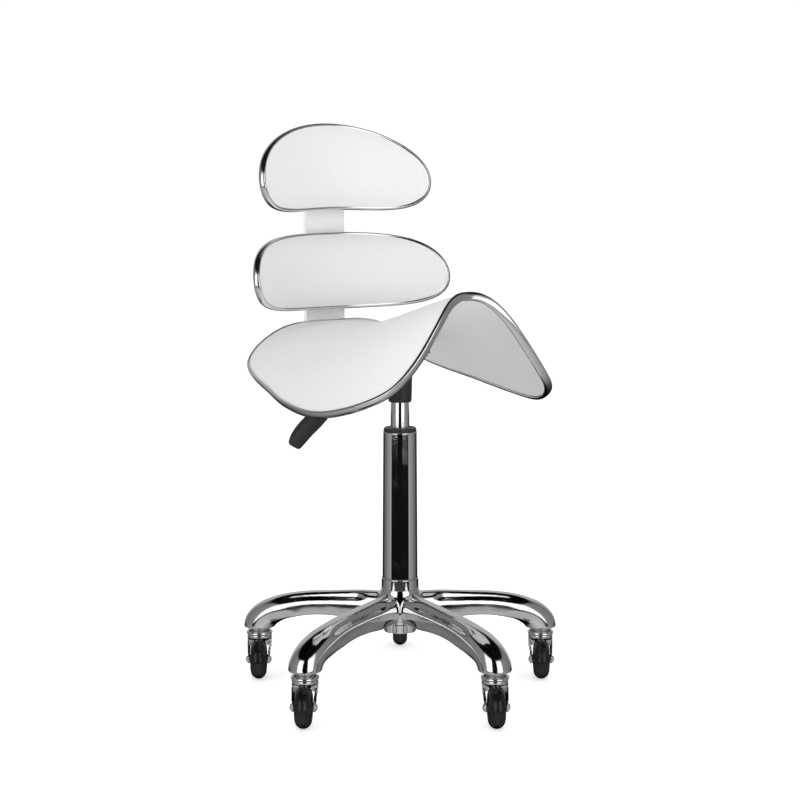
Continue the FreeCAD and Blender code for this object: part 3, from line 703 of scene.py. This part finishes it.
# %% Turned parts of the lift
column = turned("column_tube_shell", millimetres(
    (5, 104), (25, 104), (25, 171), (26.5, 171.2), (25, 394), (22.5, 394), (22.5, 108),
    (5, 108)), 0.5 * MM, 128)
dress(column, "base", "chrome", ["column_tube"])
collar = turned("guide_collar", millimetres(
    (14.05, 330), (22.5, 330), (22.5, 394), (24.9, 394), (24.5, 398.6), (22.8, 400.3),
    (14.05, 400.3)), 0.7 * MM, 128)
dress(collar, "base", "black_plastic", ["guide_bush"])
cylinder = turned("gas_cylinder_tube", millimetres(
    (5.05, 165), (14, 165), (14, 400), (13.3, 494), (3.55, 494), (3.55, 466), (12, 466), (12, 177),
    (5.05, 177)), 0.6 * MM, 128)
dress(cylinder, "seat", "chrome", ["gas_cylinder"])
print("column, collar and cylinder turned")

# %% [markdown]
# ## Casters
# Each caster is a stem with a bright ball-race cup, a pressed steel fork that swivels under it, an
# axle with domed ends, a moulded wheel centre and a rounded tyre. The fork is one strip of sheet:
# it comes up one cheek, over the crown and down the other, so it is made as a strip that is bent
# across and trimmed to an outline along each edge. A short drum under the crown comes down as a
# skirt behind the wheel. Then both get their thickness.

# %% Where each caster stands
CASTER_RADIUS = 230
TRAIL = 22
WHEEL_Z = 30.5
CASTER_TURNS = (180, 0, -3, 3, 0)


def caster_place(number):
    """The matrix that puts a part drawn at the origin under its leg."""
    bearing = math.radians(LEG_ANGLES[number])
    reach = CASTER_RADIUS * MM
    place = Matrix.Translation((reach * math.cos(bearing), reach * math.sin(bearing), 0))
    return place @ Matrix.Rotation(math.radians(CASTER_TURNS[number]), 4, "Z")


WHEEL_AXIS = (Matrix.Translation((0, -TRAIL * MM, WHEEL_Z * MM))
              @ Matrix.Rotation(math.radians(90), 4, "Y"))


# %% Fork
CHEEK_X = 15.7
CROWN_Z = 64.2


def fork_edge(across, height):
    """Front and rear edge of the sheet at a place on the bent strip, in millimetres."""
    round_crown = math.sqrt(max(17.9 ** 2 - min(abs(across), 17.4) ** 2, 0.0))
    if height > 60:
        return -round_crown, round_crown
    drop = (60 - height) / 30
    front = -10.7 - 18.3 * ease(drop, 0.0, 0.75)
    rear = 10.7 - 8 * drop - 16 * ease(drop, 0.45, 1.0)
    return front, rear


def fork_strip():
    """Stations (across, height) from one cheek's foot over the crown to the other."""
    bend, top_x = 3.5, 17.3
    cheek = [(CHEEK_X + (top_x - CHEEK_X) * ease(z, 40, 60), z)
             for z in np.linspace(WHEEL_Z, CROWN_Z - bend, 18)]
    corner = [(top_x - bend + bend * math.cos(a), CROWN_Z - bend + bend * math.sin(a))
              for a in np.linspace(0, math.pi / 2, 7)[1:]]
    top = [(x, CROWN_Z) for x in np.linspace(top_x - bend, 0, 8)[1:]]
    half = cheek + corner + top
    return half + [(-x, z) for x, z in half[-2::-1]]


DRUM_R, LIP_Z, SKIRT_DROP = 17.8, 61.4, 18


def fork_drum():
    """The short drum under the crown, which comes down as a skirt behind the wheel."""
    around, rows = 72, 6
    points = []
    for k in range(rows):
        for j in range(around):
            angle = 2 * math.pi * j / around
            foot = LIP_Z - SKIRT_DROP * ease(math.sin(angle), -0.25, 0.2)
            height = foot + (CROWN_Z - foot) * k / (rows - 1)
            points.append((DRUM_R * MM * math.cos(angle), DRUM_R * MM * math.sin(angle),
                           height * MM))
    return new_piece("drum", points, strip_faces(rows, around))


def fork_foot(across, sweep):
    """The round end of a cheek about the axle."""
    return [(across, -TRAIL + 7 * math.cos(a), WHEEL_Z - 7 * math.sin(a)) for a in sweep]


def caster_fork(name):
    columns = 13
    points = []
    strip = fork_strip()
    for across, height in strip:
        front, rear = fork_edge(across, height)
        for k in range(columns):
            along = front + (rear - front) * k / (columns - 1)
            points.append((across * MM, along * MM, height * MM))
    faces = strip_faces(len(strip), columns, False)
    for across, first in ((CHEEK_X, 0), (-CHEEK_X, (len(strip) - 1) * columns)):
        sweep = np.linspace(math.pi, 0, columns)
        foot = fork_foot(across, sweep)
        start = len(points)
        points += [(x * MM, y * MM, z * MM) for x, y, z in foot]
        faces += [(first + k, first + k + 1, start + k + 1, start + k) for k in range(columns - 1)]
    piece = merge(name, [new_piece("strip", points, faces), fork_drum()])
    sheet = piece.modifiers.new("sheet", "SOLIDIFY")
    sheet.thickness = 2.2 * MM
    sheet.offset = 0.0
    edge = piece.modifiers.new("edge", "BEVEL")
    edge.width = 0.6 * MM
    edge.segments = 2
    edge.limit_method = "ANGLE"
    return bake(piece)


# %% Wheel, axle and cup
def wheel_part(name, corners, easing, around=72):
    piece = turned(name, corners, easing, around)
    piece.data.transform(WHEEL_AXIS)
    return piece


def tyre(name):
    tread = [(18.6 + 11.85 * math.sin(a), -11.95 * math.cos(a))
             for a in np.linspace(0.08, math.pi - 0.08, 25)]
    outline = millimetres((16.7, -11.0), (17.4, -11.8), *tread, (17.4, 11.8), (16.7, 11.0))
    return wheel_part(name, outline, 0.5 * MM)


def wheel_centre(name):
    disc = wheel_part(name, millimetres(
        (3.05, -13.8), (7, -13.8), (7.6, -6), (13.2, -5), (14.2, -11), (17, -11),
        (17, 11), (14.2, 11), (13.2, 5), (7.6, 6), (7, 13.8), (3.05, 13.8)), 0.6 * MM)
    ribs = []
    for i in range(8):
        corners = [(x * MM, y * MM, z * MM)
                   for x in (6.5, 14.6) for y in (-0.9, 0.9) for z in (-9.5, 9.5)]
        rib = new_piece("rib", corners, [(0, 1, 3, 2), (4, 5, 7, 6), (0, 1, 5, 4), (2, 3, 7, 6),
                                         (0, 2, 6, 4), (1, 3, 7, 5)])
        rib.data.transform(WHEEL_AXIS @ Matrix.Rotation(math.radians(45 * i), 4, "Z"))
        ribs.append(rib)
    return merge(name, [disc] + ribs)


def axle(name):
    """A bolt with a domed head at one end and a domed nut at the other."""
    shank = turned("shank", millimetres((0.01, -17), (3, -17), (3, 17), (0.01, 17)), 0.3 * MM, 32)
    caps = []
    for side in (-1, 1):
        dome = [(0.01, 19.9), (2.4, 19.7), (4.2, 18.9), (5.1, 17.8), (5.4, 16.9), (0.01, 16.9)]
        caps.append(turned("cap", millimetres(*[(r, side * z) for r, z in dome]), 0.4 * MM, 48))
    whole = merge(name, [shank] + caps)
    whole.data.transform(WHEEL_AXIS)
    whole.data.shade_smooth()
    return whole


def race_cup(name):
    return turned(name, millimetres(
        (15, 66.1), (19.3, 66.1), (20.3, 67.4), (20.1, 69.2), (18.4, 71.2), (15.6, 72.5),
        (5.5, 72.5), (5.5, 70.7),
        (15, 70.7)), 0.7 * MM, 72)


# %% Five casters
cups = []
for number in range(5):
    tag = str(number + 1)
    place = caster_place(number)
    made = [
        (tyre("tyre_" + tag + "_tread"), "wheel_" + tag, "tread", "tyre_" + tag, "tread"),
        (wheel_centre("wheel_" + tag + "_centre"), "wheel_" + tag, "black_plastic",
         "wheel_hub_" + tag, "black_plastic"),
        (caster_fork("fork_" + tag + "_pressing"), "fork_" + tag, "chrome",
         "caster_fork_" + tag, "pressing"),
        (axle("axle_" + tag + "_bolt"), "fork_" + tag, "steel", "caster_axle_" + tag, "pressing")]
    for piece, body, slot, node, finish in made:
        piece.data.transform(place)
        dress(piece, body, slot, [node], finish)
    cup = race_cup("cup_" + tag)
    cup.data.transform(place)
    cups.append(cup)
dress(merge("race_cups_bright", cups), "base", "chrome", ["race_cups"], "pressing")
print("five casters made")

# %% [markdown]
# ## Forms for the upholstery
# Seat and back pads are plywood shells with foam and leatherette on them. Each shell is a curved
# sheet with a rounded outline, so every layer can be drawn on the same sheet: a place on it, and a
# lift along its normal. The seat's sheet rises to a pommel in front and droops at both sides; the
# back sheets wrap round the sitter and lean back a little.

# %% The seat's sheet
SEAT_YAW = math.radians(-57)
SEAT_TIP = math.radians(10)
TURN_SEAT = Matrix.Rotation(SEAT_YAW, 3, "Z")
SEAT_HALF_OUTLINE = (
    (185, 0), (189, 24), (196, 61), (188, 105), (165, 142), (114, 176), (50, 198), (-20, 199),
    (-92, 186), (-152, 173), (-189, 159), (-203, 139), (-201, 105), (-195, 50), (-193, 0))


def seat_sheet(ahead, aside):
    """A place on the saddle's middle sheet, in metres."""
    x = ahead / 200
    ridge = 546.7 + 9 * x + 34 * x ** 2 - 8.5 * x ** 3
    droop = 58 + 32 * x + 28 * x ** 2
    power = 1.9 - 0.41 * x - 0.6 * x ** 2
    z = ridge - droop * (1 - math.cos(math.pi * (abs(aside) / 225) ** power)) - 550
    along = ahead * math.cos(SEAT_TIP) - z * math.sin(SEAT_TIP)
    up = 550 + ahead * math.sin(SEAT_TIP) + z * math.cos(SEAT_TIP)
    return TURN_SEAT @ Vector((along, aside, up)) * MM


def mirrored(half):
    return list(half) + [(x, -y) for x, y in half[-2:0:-1]]


def closed_curve(points, count):
    """Evenly numbered places on a smooth closed curve through the points."""
    total = len(points)
    made = []
    for k in range(count):
        at = k / count * total
        i, t = int(at) % total, at - int(at)
        p0, p1, p2, p3 = [np.array(points[(i + d) % total], float) for d in (-1, 0, 1, 2)]
        made.append(0.5 * (2 * p1 + (p2 - p0) * t + (2 * p0 - 5 * p1 + 4 * p2 - p3) * t ** 2
                           + (3 * p1 - p0 - 3 * p2 + p3) * t ** 3))
    return made


def inset(outline, margin):
    """The outline drawn inward on its sheet."""
    made = []
    for k, here in enumerate(outline):
        along = outline[(k + 1) % len(outline)] - outline[k - 1]
        made.append(here + margin * np.array((-along[1], along[0])) / np.linalg.norm(along))
    return made


# %% The back pads' sheets
WRAP = 250
LEAN = 0.2
UPPER = {"ahead": -198.0, "z": 774.4, "side": (163.9, 0.0), "rise": (70.4, -10.4, 3.5, 1.5)}
LOWER = {"ahead": -195.0, "z": 621.4, "side": (195.8, -2.2), "rise": (64.9, -3.9, 5.5, -0.5)}


def back_sheet(pad):
    """The wrapped sheet of one back pad, as a function of arc and height above its middle."""
    def place(arc, rise):
        q = arc / WRAP
        ahead = pad["ahead"] + WRAP * (1 - math.cos(q)) - LEAN * rise
        return TURN_SEAT @ Vector((ahead, WRAP * math.sin(q), pad["z"] + rise)) * MM
    return place


def back_outline(pad, count):
    first, third = pad["side"]
    one, two, three, four = pad["rise"]
    angles = [2 * math.pi * k / count for k in range(count)]
    return [np.array((first * math.cos(a) + third * math.cos(3 * a),
                      one * math.sin(a) + two * math.cos(2 * a) + three * math.sin(3 * a)
                      + four * math.cos(4 * a))) for a in angles]


def lifted(sheet, u, v, lift):
    """A point above the sheet, along its normal; u cross v points to the padded side."""
    here = sheet(u, v)
    step_u, step_v = sheet(u + 0.5, v) - sheet(u - 0.5, v), sheet(u, v + 0.5) - sheet(u, v - 0.5)
    return here + step_u.cross(step_v).normalized() * (lift * MM)


print("forms ready")

# %% [markdown]
# ## Padding by cloth simulation
# A pad is a pillow: one grid for its face and one for its back, sewn together round the outline.
# The grid is a square bent to the outline, so it has no pole in the middle to pinch the shading.
# The face starts lower than the finished pad. Then it is treated as cloth, held fast by its back
# and its edge, and blown up from inside, which stretches it over the crown as foam would. How far
# any point may move is capped, and one subdivision follows.


# %% A square grid bent into a disc
def disc_grid(count):
    """Places (x, y) of a square grid of points pressed into the unit disc."""
    line = [2 * k / count - 1 for k in range(count + 1)]
    return [(u * math.sqrt(1 - v * v / 2), v * math.sqrt(1 - u * u / 2))
            for v in line for u in line]


def outline_reach(outline):
    """How far the outline lies from its middle, for any bearing, as a function."""
    middle = np.mean(outline, axis=0)
    bearings = [math.atan2(p[1] - middle[1], p[0] - middle[0]) for p in outline]
    order = np.argsort(bearings)
    known = np.array(bearings)[order]
    places = np.array(outline)[order]

    def reach(bearing):
        u = np.interp(bearing, known, places[:, 0], period=2 * math.pi)
        v = np.interp(bearing, known, places[:, 1], period=2 * math.pi)
        return u, v
    return middle, reach


def pillow(name, sheet, outline, face_lift, back_lift, count):
    """A closed grid pad between two lifts, which are functions of how far out a point lies."""
    middle, reach = outline_reach(outline)
    size = count + 1
    spots = []
    for x, y in disc_grid(count):
        out = min(math.hypot(x, y), 1.0)
        u, v = reach(math.atan2(y, x))
        spots.append((middle[0] + (u - middle[0]) * out, middle[1] + (v - middle[1]) * out, out))
    on_edge = [i for i in range(size * size) if i % size in (0, count) or i // size in (0, count)]
    edge_set = set(on_edge)
    points = [lifted(sheet, u, v, face_lift(out)) for u, v, out in spots]
    back_index = {}
    for i, (u, v, out) in enumerate(spots):
        if i in edge_set:
            back_index[i] = i
        else:
            back_index[i] = len(points)
            points.append(lifted(sheet, u, v, back_lift(out)))
    faces = []
    for row in range(count):
        for column in range(count):
            a = row * size + column
            quad = (a, a + 1, a + size + 1, a + size)
            faces.append(quad)
            faces.append(tuple(back_index[i] for i in reversed(quad)))
    piece = new_piece(name, points, faces, 180)
    held = piece.vertex_groups.new(name="held")
    for i, (_, _, out) in enumerate(spots):
        held.add([i], ease(out, 0.955, 0.99), "REPLACE")
        held.add([back_index[i]], 1.0 if back_index[i] != i else ease(out, 0.955, 0.99), "REPLACE")
    return piece


# %% Blow a pad up, with a cap on how far it may move
def inflate(piece, pressure, cap, frames=20):
    rest = np.array([v.co for v in piece.data.vertices])
    cloth = piece.modifiers.new("cloth", "CLOTH")
    settings = cloth.settings
    settings.quality = 5
    settings.mass = 0.35
    settings.tension_stiffness = 40
    settings.compression_stiffness = 40
    settings.shear_stiffness = 20
    settings.bending_stiffness = 4
    settings.use_pressure = True
    settings.uniform_pressure_force = pressure
    settings.vertex_group_mass = "held"
    settings.effector_weights.gravity = 0
    cloth.collision_settings.use_collision = False
    scene = bpy.context.scene
    for number in range(1, frames + 1):
        scene.frame_set(number)
    graph = bpy.context.evaluated_depsgraph_get()
    blown = np.array([v.co for v in piece.evaluated_get(graph).data.vertices])
    piece.modifiers.clear()
    scene.frame_set(1)
    move = blown - rest
    length = np.linalg.norm(move, axis=1)
    share = np.where(length > 1e-9, np.tanh(length / cap) * cap / np.maximum(length, 1e-9), 1.0)
    piece.data.vertices.foreach_set("co", (rest + move * share[:, None]).ravel())
    piece.data.update()
    print(piece.name, "moved up to %.1f mm" % (1000 * (length * share).max()))


def finish_pad(piece, body, slot, nodes):
    piece.vertex_groups.clear()
    soften = piece.modifiers.new("soften", "SUBSURF")
    soften.levels = soften.render_levels = 1
    bake(piece)
    dress(piece, body, slot, nodes)
    print(piece.name, len(piece.data.polygons), "faces")


# %% [markdown]
# ## Edge band
# A plated plastic band is pressed round the edge of every shell and hides where the leatherette is
# stapled. It is a section swept round the outline. At each place the section stands on the sheet:
# outward along it, upward along its normal, so the band follows the saddle without twisting.


# %% Sweep a section round an outline
def edge_band(name, sheet, outline, section):
    """The section holds (outward, upward) millimetres from the outline on the sheet."""
    count = len(outline)
    points = []
    for k in range(count):
        u, v = outline[k]
        before, after = outline[k - 1], outline[(k + 1) % count]
        along = (sheet(*after) - sheet(*before)).normalized()
        up = (lifted(sheet, u, v, 1) - sheet(u, v)).normalized()
        outward = along.cross(up).normalized()
        here = sheet(u, v)
        points += [here + outward * (o * MM) + up * (h * MM) for o, h in section]
    piece = new_piece(name, points, strip_faces(count, len(section), True, True), 60)
    return piece


def band_section(half, bulge, lip):
    """A rounded face outside, two lips that reach in over the edge, and a flat inside."""
    face = [(bulge * math.cos(a) ** 0.8, half * math.sin(a)) for a in np.linspace(-1.45, 1.45, 15)]
    top = [(-lip * 0.5, half - 0.1), (-lip, half - 0.6), (-lip, half - 1.6)]
    under = [(-lip, -half + 1.6), (-lip, -half + 0.6), (-lip * 0.5, -half + 0.1)]
    return face + top + under


print("pad and band tools ready")

# %% [markdown]
# ## Saddle seat
# The seat pad is firm foam with the leatherette stretched tight: it climbs quickly from the band
# and is then nearly even in thickness. Underneath, a second skin over thin foam hides the shell.
# The shell itself is a thin board between the two, which stays just inside the band.

# %% Seat pad, cover and band
GRID = 84
BAND = 3
seat_outline = inset(closed_curve(mirrored(SEAT_HALF_OUTLINE), 240), BAND)


def crown(edge, rise, power):
    """Lift of a pad over how far out a point lies: flat in the middle, quick at the edge."""
    def lift(out):
        return edge + rise * (1 - out ** power)
    return lift


seat_pad = pillow("seat_pad_upholstery", seat_sheet, seat_outline,
                  crown(4.6, 4.5, 4.0), crown(-1, 0, 2), GRID)
inflate(seat_pad, 4.0, 3 * MM)
finish_pad(seat_pad, "seat", "white_leather", ["seat_pad"])

# The underside skin wears the darker back finish, which paints the shade under the seat.
seat_cover = pillow("seat_cover_upholstery", seat_sheet, seat_outline, crown(1, 0, 2),
                    crown(-4.6, -8.0, 4.0), GRID)
inflate(seat_cover, 2.0, 3 * MM)
finish_pad(seat_cover, "seat", "white_back", ["seat_cover"])

seat_band = edge_band("seat_trim_band", seat_sheet, seat_outline, band_section(6.4, 3.0, 3.0))
dress(seat_band, "seat", "trim_chrome", ["seat_trim"])


def board(name, sheet, outline, half, node):
    """The moulded shell between the layers, kept just inside the band."""
    piece = pillow(name, sheet, inset(outline, 2), crown(half, 0, 2), crown(-half, 0, 2), GRID // 2)
    piece.vertex_groups.clear()
    piece.data.shade_smooth()
    return dress(piece, "seat", "plywood", [node])


board("seat_board", seat_sheet, seat_outline, 4.0, "seat_shell")
print("seat made")

# %% [markdown]
# ## Back pads
# The two back pads are made like the seat. Each is nearly a bean: the outline is a circle with a
# few harmonics, fuller on one side.

# %% Both back pads
for level, pad in (("upper", UPPER), ("lower", LOWER)):
    outline = inset(back_outline(pad, 180), BAND)
    sheet = back_sheet(pad)
    front = pillow(level + "_back_upholstery", sheet, outline,
                   crown(4.4, 16.0, 2.8), crown(-1, 0, 2), GRID)
    inflate(front, 4.0, 5 * MM)
    finish_pad(front, "seat", "white_leather", [level + "_back_pad"])
    # The rear skin wears the same darker back finish, whose lower level is painted shade.
    rear = pillow(level + "_back_skin", sheet, outline, crown(1, 0, 2), crown(-4.4, -2.0, 4), GRID)
    finish_pad(rear, "seat", "white_back", [level + "_back_cover"])
    band = edge_band(level + "_back_band", sheet, outline, band_section(5.4, 3.0, 2.4))
    dress(band, "seat", "trim_chrome", [level + "_back_trim"])
    board(level + "_back_board", sheet, outline, 3.4, level + "_back_shell")

# %% [markdown]
# ## Lever paddle
# The hand paddle is a plastic moulding pushed over the end of the lever's rod. It curves down and
# flattens toward its tip. A loft through a few stations gives its body.

# %% Paddle
PADDLE_STATIONS = (
    (-112, 453.5, 6, 9), (-128, 439.5, 7, 12.5), (-146, 424, 7, 14),
    (-163, 410.5, 7, 14), (-176, 397, 6.5, 13), (-183, 386, 5.5, 10))


def lever_paddle():
    stations = through(PADDLE_STATIONS, 8)
    rings = []
    for i, (side, height, half_width, half_thick) in enumerate(stations):
        before, after = stations[max(i - 1, 0)], stations[min(i + 1, len(stations) - 1)]
        along = Vector((0, after[0] - before[0], after[1] - before[1])).normalized()
        outward = along.cross(Vector((1, 0, 0)))
        end = min(i, len(stations) - 1 - i)
        narrow = (0.72, 0.9, 0.97)[end] if end < 3 else 1.0
        ring = []
        for k in range(32):
            a = 2 * math.pi * k / 32
            across = math.copysign(abs(math.cos(a)) ** 0.75, math.cos(a)) * half_width * narrow
            thick = math.copysign(abs(math.sin(a)) ** 0.85, math.sin(a)) * half_thick * narrow
            spot = Vector((0, side, height)) + Vector((1, 0, 0)) * across + outward * thick
            ring.append(TURN_SEAT @ spot * MM)
        rings.append(ring)
    return loft("lever_paddle_grip", rings)


dress(lever_paddle(), "lever", "black_plastic", ["lever_paddle"])
print("paddle made")

# %% [markdown]
# ## Pieces that keep their engineering shape
# Bolts, nuts, bearings, the flat bar, the lever's rod and the wooden block are already the right
# shape. They only need a finish, which goes into the material slots that they came with.

# %% Finishes for the carried-over nodes
CARRIED = {
    "steel": ("thrust_race", "caster_stems", "swivel_balls", "piston_rod", "piston",
              "upper_race_washer", "retaining_clip", "lever_pivot_pin", "plate_bolts",
              "seat_t_nuts", "backrest_bolts", "backrest_t_nuts", "release_pin",
              "stem_grip_rings"),
    "black_steel": ("socket_tube", "mounting_plate", "lever_bracket", "lever_rod"),
    "white_steel": ("backrest_bar", "backrest_spacers"),
    "rubber": ("bump_stop",),
    "plywood": ("mounting_block",),
}
for finish, names in CARRIED.items():
    for name in names:
        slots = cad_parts[name].material_slots
        for slot in slots:
            slot.material = FINISHES[finish]
        print(name, "->", finish, len(slots))
